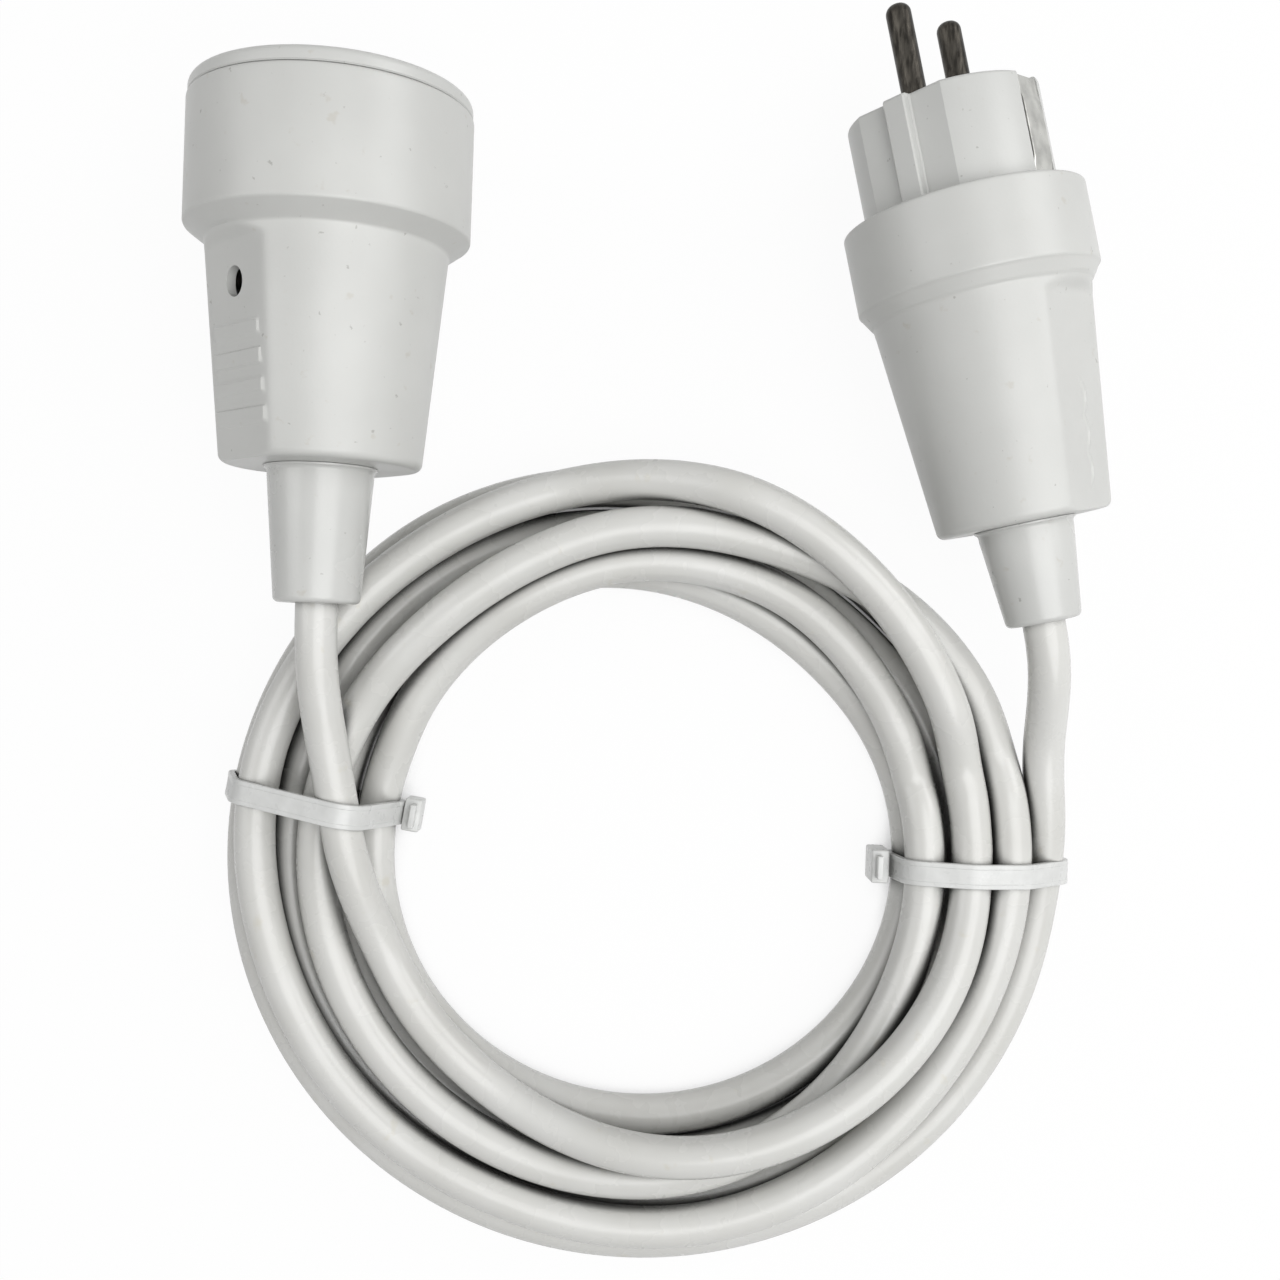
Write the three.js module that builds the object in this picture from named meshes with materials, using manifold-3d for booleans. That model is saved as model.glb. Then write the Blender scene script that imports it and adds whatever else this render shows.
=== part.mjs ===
// Extension cord: an earthed plug and an earthed trailing socket on one round flex,
// wound into a flat coil and held by two cable ties. Millimetres, +Z up.
// Each end lies on its side; its own axis is local +Y, with the mating side at y = 0.
import * as THREE from 'three';
import { mergeVertices } from 'three/addons/utils/BufferGeometryUtils.js';
import Module from 'manifold-3d';

const wasm = await Module();
wasm.setup();

// ---- driving dimensions ----
const gap = 0.3; // clearance between neighbouring pieces

const cordD = 8.2; // outside diameter of the three-core flex
const coreD = 2.5; // insulated core
const turnPitch = cordD + 0.2; // centre to centre of turns lying side by side
const lowerTurns = 4;
const coilInnerR = 49.4;
const coilBase = 1.8; // underside of the coil over the resting surface

const strapThick = 1.2;
const strapWide = 4.8;
const tieHead = { radial: 5.6, tall: 9.5, wide: 7.6 };
const tieAngles = { tie_left: 170, tie_right: -2 }; // degrees around the coil

const pinD = 4.8;
const pinSpacing = 19;
const pinReach = 19; // pin beyond the plug's face
const wellD = 39.4; // socket well that takes the plug's nose
const wellDepth = 17.5;
const noseD = 37; // plug's nose
const noseReach = 20.5; // nose beyond the collar
const ribWide = 4.6; // rib on the nose, between two flats
const flatAt = 16.2; // flats of the nose, from the axis
const stripThick = 0.8; // earth contacts
const earthGrip = 17.8; // inner face of the socket's earth springs, from the axis
const springLeadIn = 2; // how far a spring's tip leans back outwards
const springTravel = 1.6; // room behind a spring for a plug to push it out

const socket = {
  name: 'socket',
  collarR: 27,
  collarL: 27,
  collarWall: 2.2,
  shoulder: 3,
  bodyFrontR: 22.9,
  bodyBackR: 19.2,
  bodyL: 44,
  bodyWall: 4,
  endWall: 2.5,
  facetDepth: 2.4,
  guardFrontR: 10.2,
  guardBackR: 8.3,
  guardL: 26,
  lip: 3, // front rim of the face insert
  back: -20.5, // rear of the insert's floor
  screwY: -39,
  jacketY: -58,
  clampY: -62.5,
  side: 1, // the side that the housing screw enters from
};
const plug = {
  name: 'plug',
  collarR: 23.3,
  collarL: 16,
  collarWall: 2.2,
  shoulder: 3,
  bodyFrontR: 21,
  bodyBackR: 16.9,
  bodyL: 45.5,
  bodyWall: 3.8,
  endWall: 2.5,
  facetDepth: 2.4,
  guardFrontR: 9.2,
  guardBackR: 7.3,
  guardL: 19.5,
  lip: 0,
  back: -7,
  screwY: -25,
  jacketY: -42,
  clampY: -50,
  side: -1,
};
const terminal = { wide: 6.6, long: 7, screwD: 2.6, wireD: 2.8 };
const spine = { wide: 7, top: 10.8, depth: 9 };
const saddle = { wide: 19, long: 6, top: -2, thick: 2.5 };
const clampScrew = { x: 7.2, shankD: 2.6, headD: 4.6, headT: 1.7 };
const clampTop = 7;
const housingScrew = { shankD: 2.8, headD: 5, headT: 2.2, bore: 5.6, sunk: 5.5 };

// the wound bundle, from the middle of the coil
const innerRowR = coilInnerR + cordD / 2;
const outerRowR = innerRowR + (lowerTurns - 1) * turnPitch;
const lowerZ = coilBase + cordD / 2;
const upperZ = lowerZ + turnPitch * Math.sin(Math.PI / 3);

// where the ends lie, from the middle of the coil, and how they are turned; a wider bundle
// pushes them outwards
const usualReach = 83.62;
const spread = outerRowR + 0.6 * cordD - usualReach;
const outwards = { x: 0.9 * spread, y: 0.5 * spread };
const socketPlace = { x: -59.4 - outwards.x, y: 148.2 + outwards.y, heading: -1.9, roll: -45 };
const plugPlace = { x: 62.0 + outwards.x, y: 127.1 + outwards.y, heading: 11.3, roll: 48 };

// the uncoiled stretches of the flex, chosen by hand: [x, y, share of the way down to the coil]
const comeDown = (end, lowZ, [x, y, share]) => [
  x - end.side * outwards.x,
  y + outwards.y,
  end.collarR + (lowZ - end.collarR) * share,
];
const socketTail = [
  [-62.8, 46, 0.02],
  [-62.9, 40, 0.14],
  [-62.6, 33, 0.45],
  [-61.9, 26, 0.84],
  [-60.8, 19, 1],
].map((point) => comeDown(socket, upperZ + cordD + 0.5, point));
const plugTail = [
  [78.9, 42.6, 0.03],
  [79.6, 37, 0.2],
  [80.1, 30.5, 0.55],
  [80.4, 24, 1],
].map((point) => comeDown(plug, coilBase + 1.44 * cordD, point));

// ---- finishes ----
const finish = (colour, roughness, metalness = 0) => ({ color: colour, roughness, metalness });
const white = finish(0xd9dbda, 0.42);
const guardWhite = finish(0xd4d6d5, 0.4);
const cordWhite = finish(0xcfcfcb, 0.38);
const tieWhite = finish(0xe2e3e0, 0.35);
const brass = finish(0xb08d4c, 0.35, 1);
const nickel = finish(0x8f8b80, 0.3, 1);
const steel = finish(0x9a9c9e, 0.35, 1);
const coreBrown = finish(0x5b3420, 0.5);
const coreBlue = finish(0x2f5fa8, 0.5);
const coreEarth = finish(0x8fae2e, 0.5);

// ---- solids ----
function weld(geometry) {
  geometry.deleteAttribute('normal');
  geometry.deleteAttribute('uv');
  const merged = mergeVertices(geometry, 1e-4);
  const index = merged.index.array;
  const kept = [];
  for (let i = 0; i < index.length; i += 3) {
    const [a, b, c] = [index[i], index[i + 1], index[i + 2]];
    if (a !== b && b !== c && c !== a) kept.push(a, b, c);
  }
  merged.setIndex(kept);
  return merged;
}

function solid(geometry) {
  const welded = weld(geometry);
  const mesh = new wasm.Mesh({
    numProp: 3,
    vertProperties: new Float32Array(welded.attributes.position.array),
    triVerts: new Uint32Array(welded.index.array),
  });
  return new wasm.Manifold(mesh);
}

function cut(base, ...tools) {
  return tools.reduce((rest, tool) => rest.subtract(tool), base);
}

function join(base, ...others) {
  return others.reduce((sum, other) => sum.add(other), base);
}

function toGeometry(manifold) {
  const mesh = manifold.getMesh();
  const geometry = new THREE.BufferGeometry();
  geometry.setAttribute('position', new THREE.BufferAttribute(new Float32Array(mesh.vertProperties), 3));
  geometry.setIndex(new THREE.BufferAttribute(new Uint32Array(mesh.triVerts), 1));
  geometry.computeVertexNormals();
  return geometry;
}

function piece(name, shape, look) {
  const mesh = new THREE.Mesh(toGeometry(shape), new THREE.MeshStandardMaterial(look));
  mesh.name = name;
  return mesh;
}

// a box given by its low and high corners
function block(low, high) {
  const size = high.map((value, i) => value - low[i]);
  const box = new THREE.BoxGeometry(...size);
  box.translate(...high.map((value, i) => (value + low[i]) / 2));
  return solid(box);
}

// a round bar along Y from y0 to y1, or along Z from z0 to z1
function barY(radius, y0, y1, x, z, sides = 14) {
  const bar = new THREE.CylinderGeometry(radius, radius, Math.abs(y1 - y0), sides);
  bar.translate(x, (y0 + y1) / 2, z);
  return solid(bar);
}

function barZ(radius, z0, z1, x, y, sides = 12) {
  const bar = new THREE.CylinderGeometry(radius, radius, Math.abs(z1 - z0), sides);
  bar.rotateX(Math.PI / 2);
  bar.translate(x, y, (z0 + z1) / 2);
  return solid(bar);
}

// a turned piece: the outline is [radius, y] points, counter-clockwise
function turned(outline, sides) {
  return solid(new THREE.LatheGeometry(outline.map(([r, y]) => new THREE.Vector2(r, y)), sides));
}

function arc(cx, cy, radius, from, to, steps) {
  const points = [];
  for (let i = 0; i <= steps; i++) {
    const angle = THREE.MathUtils.degToRad(from + ((to - from) * i) / steps);
    points.push([cx + radius * Math.cos(angle), cy + radius * Math.sin(angle)]);
  }
  return points;
}

// a box that is mirrored with the side that the housing screw enters from
function sidedBlock(side, x0, x1, y0, y1, z0, z1) {
  return block([x0, y0, Math.min(side * z0, side * z1)], [x1, y1, Math.max(side * z0, side * z1)]);
}

function roundTube(points, diameter, sides, steps) {
  const path = new THREE.CatmullRomCurve3(points.map((p) => new THREE.Vector3(...p)), false, 'centripetal');
  const section = new THREE.Shape();
  for (let i = 0; i < sides; i++) {
    const angle = (i * 2 * Math.PI) / sides;
    const corner = [(Math.cos(angle) * diameter) / 2, (Math.sin(angle) * diameter) / 2];
    if (i === 0) section.moveTo(...corner);
    else section.lineTo(...corner);
  }
  return solid(new THREE.ExtrudeGeometry(section, { extrudePath: path, steps }));
}

// ---- housing of one end ----
const bodyEnd = (end) => -(end.collarL + end.bodyL);
const bodyStart = (end) => -(end.collarL + end.shoulder);
const cordExit = (end) => bodyEnd(end) - end.guardL;

function bodyRadius(end, y) {
  const share = (bodyStart(end) - y) / (bodyStart(end) - bodyEnd(end));
  return end.bodyFrontR + (end.bodyBackR - end.bodyFrontR) * share;
}

const facetAt = (end, y) => bodyRadius(end, y) - end.facetDepth;

// how deep the carrier goes before the saddle's corners would meet the wall
function carrierDepth(end) {
  const cavityR = bodyRadius(end, end.clampY - saddle.long / 2) - end.bodyWall;
  return Math.min(spine.depth, Math.sqrt(cavityR ** 2 - (saddle.wide / 2) ** 2) - 2 * gap);
}

function makeShell(end) {
  const mouth = end.lip ? -end.lip - gap : 0;
  const rear = bodyEnd(end);
  const front = bodyStart(end);
  const edge = 1.6;
  const holeR = end.guardFrontR - 1.2 + gap;
  const cavityFloor = -end.collarL + 2.5;
  const shell = turned([
    [holeR, rear],
    ...arc(end.bodyBackR - edge, rear + edge, edge, -90, 0, 3),
    [end.bodyFrontR, front],
    ...arc(end.collarR - edge, -end.collarL + edge, edge, -60, 0, 3),
    ...arc(end.collarR - 0.7, mouth - 0.7, 0.7, 0, 90, 2),
    [end.collarR - end.collarWall, mouth],
    [end.collarR - end.collarWall, cavityFloor],
    [end.bodyFrontR - end.bodyWall, cavityFloor],
    [end.bodyFrontR - end.bodyWall, front],
    [end.bodyBackR - end.bodyWall, rear + end.endWall],
    [holeR, rear + end.endWall],
    [holeR, rear],
  ], 36);
  const taper = Math.atan2(end.bodyFrontR - end.bodyBackR, front - rear);
  const facetL = front - rear;
  const tools = [];
  for (const side of [1, -1]) {
    const slab = new THREE.BoxGeometry(60, facetL + 2, 12);
    slab.translate(0, -(facetL + 2) / 2, 6);
    slab.rotateX(taper);
    slab.translate(0, front, facetAt(end, front));
    if (side < 0) slab.rotateY(Math.PI);
    tools.push(solid(slab));
  }
  const wallZ = bodyRadius(end, end.screwY);
  tools.push(barZ(housingScrew.bore / 2, end.side * (wallZ - 8), end.side * (wallZ + 4), 0, end.screwY, 16));
  let body = cut(shell, ...tools);
  // raised grip bars across both facets
  const bars = end.name === 'socket' ? 4 : 3;
  for (const side of [1, -1]) {
    for (let i = 0; i < bars; i++) {
      const y = rear + 7.5 + i * 5.2;
      const bar = new THREE.BoxGeometry(12 - 0.4 * (bars - 1 - i), 2.6, 1.4);
      bar.rotateX(taper);
      bar.translate(0, y, facetAt(end, y) - 0.1);
      if (side < 0) bar.rotateY(Math.PI);
      body = join(body, solid(bar));
    }
  }
  return piece(`${end.name}_shell`, body, white);
}

function makeGuard(end) {
  const rear = bodyEnd(end);
  const bore = cordD / 2 + gap;
  const neckR = end.guardFrontR - 1.2;
  const flangeR = end.guardFrontR + 1.5;
  const seat = rear + end.endWall + gap;
  const guard = turned([
    [bore, cordExit(end)],
    ...arc(end.guardBackR - 1, cordExit(end) + 1, 1, -90, 0, 3),
    [end.guardFrontR, rear - gap - 0.8],
    [end.guardFrontR - 0.5, rear - gap],
    [neckR, rear - gap],
    [neckR, seat],
    [flangeR, seat],
    [flangeR, seat + 2],
    [bore, seat + 2],
    [bore, cordExit(end)],
  ], 24);
  return piece(`${end.name}_bend_guard`, guard, guardWhite);
}

// the part of the insert behind its floor: spine, tongue and the saddle that the flex lies in
function carrier(end) {
  const s = end.side;
  const spineEnd = end.screwY - 4.5;
  const tongueEnd = end.clampY - saddle.long / 2;
  const half = spine.wide / 2;
  const bossTop = facetAt(end, end.screwY) - housingScrew.sunk;
  const bottom = -carrierDepth(end);
  const base = join(
    sidedBlock(s, -half, half, spineEnd, end.back + 0.5, bottom, spine.top),
    barZ(3.4, s * (spine.top - 1), s * bossTop, 0, end.screwY, 20),
    sidedBlock(s, -saddle.wide / 2, saddle.wide / 2, tongueEnd, spineEnd + 8, bottom, bottom + saddle.thick),
    sidedBlock(s, -saddle.wide / 2, saddle.wide / 2, tongueEnd, tongueEnd + saddle.long, bottom, saddle.top),
  );
  const screwHole = barZ(housingScrew.shankD / 2 + gap, s * 2, s * (bossTop + 1), 0, end.screwY);
  const trough = barY(cordD / 2 + gap, tongueEnd - 1, tongueEnd + saddle.long + 1, 0, 0, 24);
  const bridgeSlot = block(
    [-earthBridge.wide / 2 - gap, end.back - earthBridge.thick - 2 * gap, -spine.top - 3],
    [earthBridge.wide / 2 + gap, end.back, spine.top + 3],
  );
  const screwHoles = [-1, 1].map((x) =>
    barZ(clampScrew.shankD / 2 + gap, s * (bottom + 1), s * (saddle.top + 1), x * clampScrew.x, end.clampY));
  return cut(base, screwHole, trough, bridgeSlot, ...screwHoles);
}

const earthBridge = { wide: 3.4, thick: 1.2, blockL: 5, low: 11.3, high: 15.8 };

function makeSocketInsert(end) {
  const wellR = wellD / 2;
  const outerR = end.collarR - end.collarWall - gap;
  const cup = turned([
    [0, end.back],
    [outerR, end.back],
    [outerR, -end.lip],
    [end.collarR - 0.3, -end.lip],
    ...arc(end.collarR - 1.3, -1, 1, 0, 90, 3),
    [wellR + 0.7, 0],
    [wellR, -0.7],
    [wellR, -wellDepth],
    [0, -wellDepth],
  ], 44);
  const added = [];
  const removed = [];
  for (const x of [-1, 1]) {
    const pinX = (x * pinSpacing) / 2;
    added.push(barY(5, end.back - sleeveL - 1, end.back + 0.5, pinX, 0, 20));
    removed.push(barY(pinD / 2 + 0.45, end.back - 1, -wellDepth + 1, pinX, 0, 20));
    removed.push(barY(sleeveR + gap, end.back - sleeveL - 2, end.back, pinX, 0, 20));
    // two guide ribs on each side of the well, with the plug's rib between them
    for (const z of [-1, 1]) {
      const inner = flatAt + 0.5;
      const near = ribWide / 2 + 0.6;
      const xs = [x * inner, x * (wellR + 1)];
      const zs = [z * near, z * (near + 2.4)];
      const low = [Math.min(...xs), -wellDepth - 1, Math.min(...zs)];
      added.push(block(low, [Math.max(...xs), -2.5, Math.max(...zs)]));
    }
    // slots for the earth springs, through the wall's inside and the floor
    const slotLow = earthGrip - 1;
    const slotHigh = earthGrip + springLeadIn + stripThick + springTravel;
    const zs = [x * slotLow, x * slotHigh];
    removed.push(block([-2.7, end.back - 1, Math.min(...zs)], [2.7, -2.8, Math.max(...zs)]));
  }
  const body = cut(join(cup, ...added, carrier(end)), ...removed);
  return piece('socket_face_insert', body, white);
}

function makePlugInsert(end) {
  const noseR = noseD / 2;
  const nose = turned([
    [0, end.back],
    [end.collarR - end.collarWall - gap, end.back],
    [end.collarR - end.collarWall - gap, -0.6],
    [noseR, -0.6],
    [noseR, noseReach - 0.6],
    [noseR - 0.6, noseReach],
    [0, noseReach],
  ], 44);
  const flats = [];
  const ribs = [];
  const holes = [];
  for (const x of [-1, 1]) {
    const pair = (a, b) => [Math.min(x * a, x * b), Math.max(x * a, x * b)];
    const [flatLow, flatHigh] = pair(flatAt, 30);
    flats.push(block([flatLow, 0, -30], [flatHigh, noseReach + 1, 30]));
    const [ribLow, ribHigh] = pair(flatAt - 1, noseR - 0.2);
    ribs.push(block([ribLow, -1, -ribWide / 2], [ribHigh, noseReach, ribWide / 2]));
    const [slotLow, slotHigh] = pair(earthSeat, 30);
    const grooveHalf = plugStripWide / 2 + gap;
    holes.push(block([-grooveHalf, 0, slotLow], [grooveHalf, noseReach + 1, slotHigh]));
    const [passLow, passHigh] = pair(earthSeat, earthSeat + stripThick + 2 * gap);
    holes.push(block([-grooveHalf, end.back - 1, passLow], [grooveHalf, 1, passHigh]));
    holes.push(barY(pinD / 2 + gap, end.back - 1, noseReach + 1, (x * pinSpacing) / 2, 0, 20));
  }
  const body = cut(join(cut(nose, ...flats), ...ribs, carrier(end)), ...holes);
  return piece('plug_face_insert', body, white);
}

// ---- contacts ----
const sleeveL = 13;
const sleeveR = 3.2;
const earthSeat = 16.9; // floor of the plug's earth grooves, from the axis
const plugStripWide = 7;

function terminalBlock(x, y1, side) {
  const half = terminal.wide / 2;
  const y0 = y1 - terminal.long;
  return {
    body: block([x - half, y0, -half], [x + half, y1 + 0.01, half]),
    wire: barY(terminal.wireD / 2, y0 - 1, y0 + 5, x, 0, 12),
    screw: barZ(terminal.screwD / 2 + gap, 0, side * (half + 1), x, y0 + 3, 12),
  };
}

function makeSleeve(name, x) {
  const top = socket.back - 0.4;
  const rear = top - sleeveL;
  const bore = pinD / 2 + 0.05;
  const tube = turned([
    [0, rear],
    [sleeveR, rear],
    [sleeveR, top],
    [bore + 0.3, top],
    [bore, top - 0.5],
    [bore, rear + 1],
    [0, rear + 1],
  ], 16).translate([x, 0, 0]);
  const end = terminalBlock(x, socket.back - sleeveL - 1 - gap, socket.side);
  const neck = barY(2, socket.back - sleeveL - 1 - gap - 0.5, rear + 0.5, x, 0, 16);
  return piece(name, cut(join(tube, neck, end.body), end.wire, end.screw), brass);
}

function makePin(name, x) {
  const tip = noseReach + pinReach;
  const pinR = pinD / 2;
  const pin = turned([
    [0, plug.back - gap - 1],
    [pinR, plug.back - gap - 1],
    [pinR, tip - 2],
    ...arc(pinR - 1.9, tip - 1.9, 1.9, 0, 90, 4),
    [0, tip],
  ], 16).translate([x, 0, 0]);
  const end = terminalBlock(x, plug.back - gap, plug.side);
  return piece(name, cut(join(pin, end.body), end.wire, end.screw), nickel);
}

function makeScrew(name, place, shankD, shankL, headD, headT, side) {
  const [x, y, z] = place; // underside of the head
  const shank = barZ(shankD / 2, side * (z - shankL), side * (z + 0.01), x, y, 10);
  const head = barZ(headD / 2, side * z, side * (z + headT), x, y, headD > shankD ? 14 : 10);
  const top = side * (z + headT);
  const low = Math.min(top, top - side);
  const high = Math.max(top, top - side) + 0.2;
  const slots = [[0.5, headD * 0.36], [headD * 0.36, 0.5]].map(([w, l]) =>
    block([x - w / 2, y - l / 2, low], [x + w / 2, y + l / 2, high]));
  return piece(name, cut(join(shank, head), ...slots), steel);
}

function makeScrews(end) {
  const s = end.side;
  const bossTop = facetAt(end, end.screwY) - housingScrew.sunk;
  const y0 = end.name === 'socket' ? end.back - sleeveL - 1 - gap : end.back - gap;
  const terminalY = y0 - terminal.long + 3;
  const half = terminal.wide / 2;
  const live = [['line', -1], ['neutral', 1]].map(([label, x]) => makeScrew(
    `${end.name}_${label}_terminal_screw`, [(x * pinSpacing) / 2, terminalY, half - 0.6],
    terminal.screwD, 2, terminal.screwD, 1, s));
  const earthY = end.back - gap - earthBridge.thick - earthBridge.blockL / 2;
  const earth = makeScrew(`${end.name}_earth_terminal_screw`, [0, earthY, earthBridge.high - 1],
    terminal.screwD, 1.6, terminal.screwD, 0.9, s);
  const clamps = [['a', -1], ['b', 1]].map(([label, x]) => makeScrew(
    `${end.name}_clamp_screw_${label}`, [x * clampScrew.x, end.clampY, clampTop + gap],
    clampScrew.shankD, clampTop + carrierDepth(end) - 2, clampScrew.headD, clampScrew.headT, s));
  const housing = makeScrew(`${end.name}_housing_screw`, [0, end.screwY, bossTop + gap],
    housingScrew.shankD, bossTop - 3, housingScrew.headD, housingScrew.headT, s);
  return [...live, earth, ...clamps, housing];
}

function makeClampBar(end) {
  const s = end.side;
  const y0 = end.clampY - saddle.long / 2;
  const bar = sidedBlock(s, -saddle.wide / 2, saddle.wide / 2, y0, y0 + saddle.long, -saddle.top, clampTop);
  const trough = barY(cordD / 2 + gap, y0 - 1, y0 + saddle.long + 1, 0, 0, 24);
  const holes = [-1, 1].map((x) =>
    barZ(clampScrew.shankD / 2 + gap, s * 1, s * (clampTop + 1), x * clampScrew.x, end.clampY));
  return piece(`${end.name}_cord_clamp`, cut(bar, trough, ...holes), white);
}

// the strip behind the insert's floor that joins both earth contacts to the earth terminal
function makeEarthBridge(end, reach) {
  const y1 = end.back - gap;
  const y0 = y1 - earthBridge.thick;
  const half = earthBridge.wide / 2;
  const s = end.side;
  const earthY = y0 - earthBridge.blockL / 2;
  const strip = block([-half, y0, -reach], [half, y1, reach]);
  const lug = sidedBlock(s, -3, 3, y0 - earthBridge.blockL, y0 + 0.01, earthBridge.low, earthBridge.high);
  const wire = barY(terminal.wireD / 2, y0 - earthBridge.blockL - 1, y0 - 1, earthCoreX, s * earthCoreZ, 12);
  const screw = barZ(terminal.screwD / 2 + gap, s * earthCoreZ, s * (earthBridge.high + 1), 0, earthY, 12);
  return piece(`${end.name}_earth_bridge`, cut(join(strip, lug), wire, screw), brass);
}

const earthCoreX = 0.6;
const earthCoreZ = 13.2;

// socket earth springs: bowed strips that the plug pushes outwards
function makeEarthSpring(name, side) {
  const foot = socket.back - gap - 0.2;
  const outline = [
    [earthGrip + 1, foot + 0.5],
    [earthGrip + 1, -15],
    [earthGrip, -9],
    [earthGrip + 0.3, -6.5],
    [earthGrip + springLeadIn, -4],
  ];
  const shape = new THREE.Shape();
  outline.forEach(([z, y], i) => (i ? shape.lineTo(z, y) : shape.moveTo(z, y)));
  [...outline].reverse().forEach(([z, y]) => shape.lineTo(z + stripThick, y));
  const strip = new THREE.ExtrudeGeometry(shape, { depth: 4.6, bevelEnabled: false });
  strip.translate(0, 0, -2.3);
  strip.rotateY(-Math.PI / 2); // shape x becomes z
  if (side < 0) strip.rotateY(Math.PI);
  return piece(name, solid(strip), nickel);
}

function makePlugEarthStrip(name, side) {
  const low = earthSeat + gap;
  const tip = noseReach - 0.8;
  const half = plugStripWide / 2;
  const strip = sidedBlock(side, -half, half, plug.back - gap + 0.6, tip, low, low + stripThick);
  const crown = sidedBlock(side, -half, half, 3, tip - 4, low + 0.2, low + stripThick + 0.4);
  return piece(name, join(strip, crown), nickel);
}

// insulated cores from the end of the jacket to the terminals
function makeCores(end) {
  const s = end.side;
  const from = end.jacketY + 2 * gap;
  const y0 = end.name === 'socket' ? end.back - sleeveL - 1 - gap : end.back - gap;
  const terminalRear = y0 - terminal.long - gap;
  const earthRear = end.back - gap - earthBridge.thick - earthBridge.blockL - gap;
  const cores = [['line', -1, coreBrown], ['neutral', 1, coreBlue]].map(([label, x, look]) => {
    const pinX = (x * pinSpacing) / 2;
    const route = [
      [x * 2, from, -1.2 * s],
      [x * 2, from + 1.5, -1.2 * s],
      [pinX, terminalRear - 2.5, 0],
      [pinX, terminalRear - gap, 0],
    ];
    return piece(`${end.name}_${label}_core`, roundTube(route, coreD, 8, 10), look);
  });
  const around = 3.4 + coreD / 2 + 0.8; // past the screw's boss
  const earthRoute = [
    [0, from, 2 * s],
    [0, from + 1.5, 2 * s],
    [around, end.screwY - 6, 9.6 * s],
    [around, end.screwY + 3, earthCoreZ * s],
    [earthCoreX, earthRear - 1.8, earthCoreZ * s],
    [earthCoreX, earthRear - gap, earthCoreZ * s],
  ];
  cores.push(piece(`${end.name}_earth_core`, roundTube(earthRoute, coreD, 8, 18), coreEarth));
  return cores;
}

function makeInnerJacket(end) {
  const jacket = barY(cordD / 2, cordExit(end) + gap, end.jacketY, 0, 0, 20);
  return piece(`${end.name}_jacket_end`, jacket, cordWhite);
}

function placeEnd(end, place, pieces) {
  const rolled = new THREE.Group();
  rolled.rotation.y = THREE.MathUtils.degToRad(place.roll);
  rolled.add(...pieces);
  const laid = new THREE.Group();
  laid.position.set(place.x, place.y, end.collarR);
  laid.rotation.z = THREE.MathUtils.degToRad(place.heading);
  laid.add(rolled);
  return laid;
}

// ---- flex and ties ----
// section of the wound bundle, [radius, height] from the middle of the coil: a row of turns
// on the bottom and one fewer in the valleys above, with a skin `skin` thick around them
function bundleOutline(skin) {
  const r = cordD / 2 + skin;
  return [
    ...arc(innerRowR, lowerZ, r, 270, 150, 4),
    ...arc(innerRowR + turnPitch / 2, upperZ, r, 150, 90, 2),
    ...arc(outerRowR - turnPitch / 2, upperZ, r, 90, 30, 2),
    ...arc(outerRowR, lowerZ, r, 30, -90, 4),
  ].reverse();
}

function makeCoil() {
  const outline = bundleOutline(0);
  const ring = turned([...outline, outline[0]], 48);
  return piece('cord_coil', ring.rotate([90, 0, 0]), cordWhite);
}

function makeTie(name) {
  const strap = new THREE.Shape(bundleOutline(gap + strapThick).map(([r, z]) => new THREE.Vector2(r, z)));
  strap.holes.push(new THREE.Path(bundleOutline(gap).map(([r, z]) => new THREE.Vector2(r, z))));
  const loop = new THREE.ExtrudeGeometry(strap, { depth: strapWide, bevelEnabled: false });
  loop.translate(0, 0, -strapWide / 2);
  loop.rotateX(Math.PI / 2);
  const inside = coilInnerR - gap - 0.2;
  const headLow = coilBase + cordD / 2 - tieHead.tall / 2 + 1;
  const head = block([inside - tieHead.radial, -tieHead.wide / 2, headLow],
    [inside, tieHead.wide / 2, headLow + tieHead.tall]);
  const tail = block([inside - 3.6, -strapWide / 2, headLow + tieHead.tall - 0.5],
    [inside - 3.6 + strapThick, strapWide / 2, headLow + tieHead.tall + 3]);
  const tie = piece(name, join(solid(loop), head, tail), tieWhite);
  tie.rotation.z = THREE.MathUtils.degToRad(tieAngles[name]);
  return tie;
}

function makeTail(name, end, place, points) {
  const heading = THREE.MathUtils.degToRad(place.heading);
  const reach = cordExit(end) - gap;
  const start = [place.x - Math.sin(heading) * reach, place.y + Math.cos(heading) * reach, end.collarR];
  return piece(name, roundTube([start, ...points], cordD, 10, points.length * 2), cordWhite);
}

// ---- assembly ----
const socketEnd = placeEnd(socket, socketPlace, [
  makeShell(socket),
  makeGuard(socket),
  makeSocketInsert(socket),
  makeSleeve('socket_line_contact', -pinSpacing / 2),
  makeSleeve('socket_neutral_contact', pinSpacing / 2),
  makeEarthSpring('socket_earth_spring_a', 1),
  makeEarthSpring('socket_earth_spring_b', -1),
  makeEarthBridge(socket, earthGrip + 1 + stripThick),
  makeClampBar(socket),
  ...makeScrews(socket),
  ...makeCores(socket),
  makeInnerJacket(socket),
]);
const plugEnd = placeEnd(plug, plugPlace, [
  makeShell(plug),
  makeGuard(plug),
  makePlugInsert(plug),
  makePin('plug_line_pin', -pinSpacing / 2),
  makePin('plug_neutral_pin', pinSpacing / 2),
  makePlugEarthStrip('plug_earth_contact_a', 1),
  makePlugEarthStrip('plug_earth_contact_b', -1),
  makeEarthBridge(plug, earthSeat + gap + stripThick),
  makeClampBar(plug),
  ...makeScrews(plug),
  ...makeCores(plug),
  makeInnerJacket(plug),
]);

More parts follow.
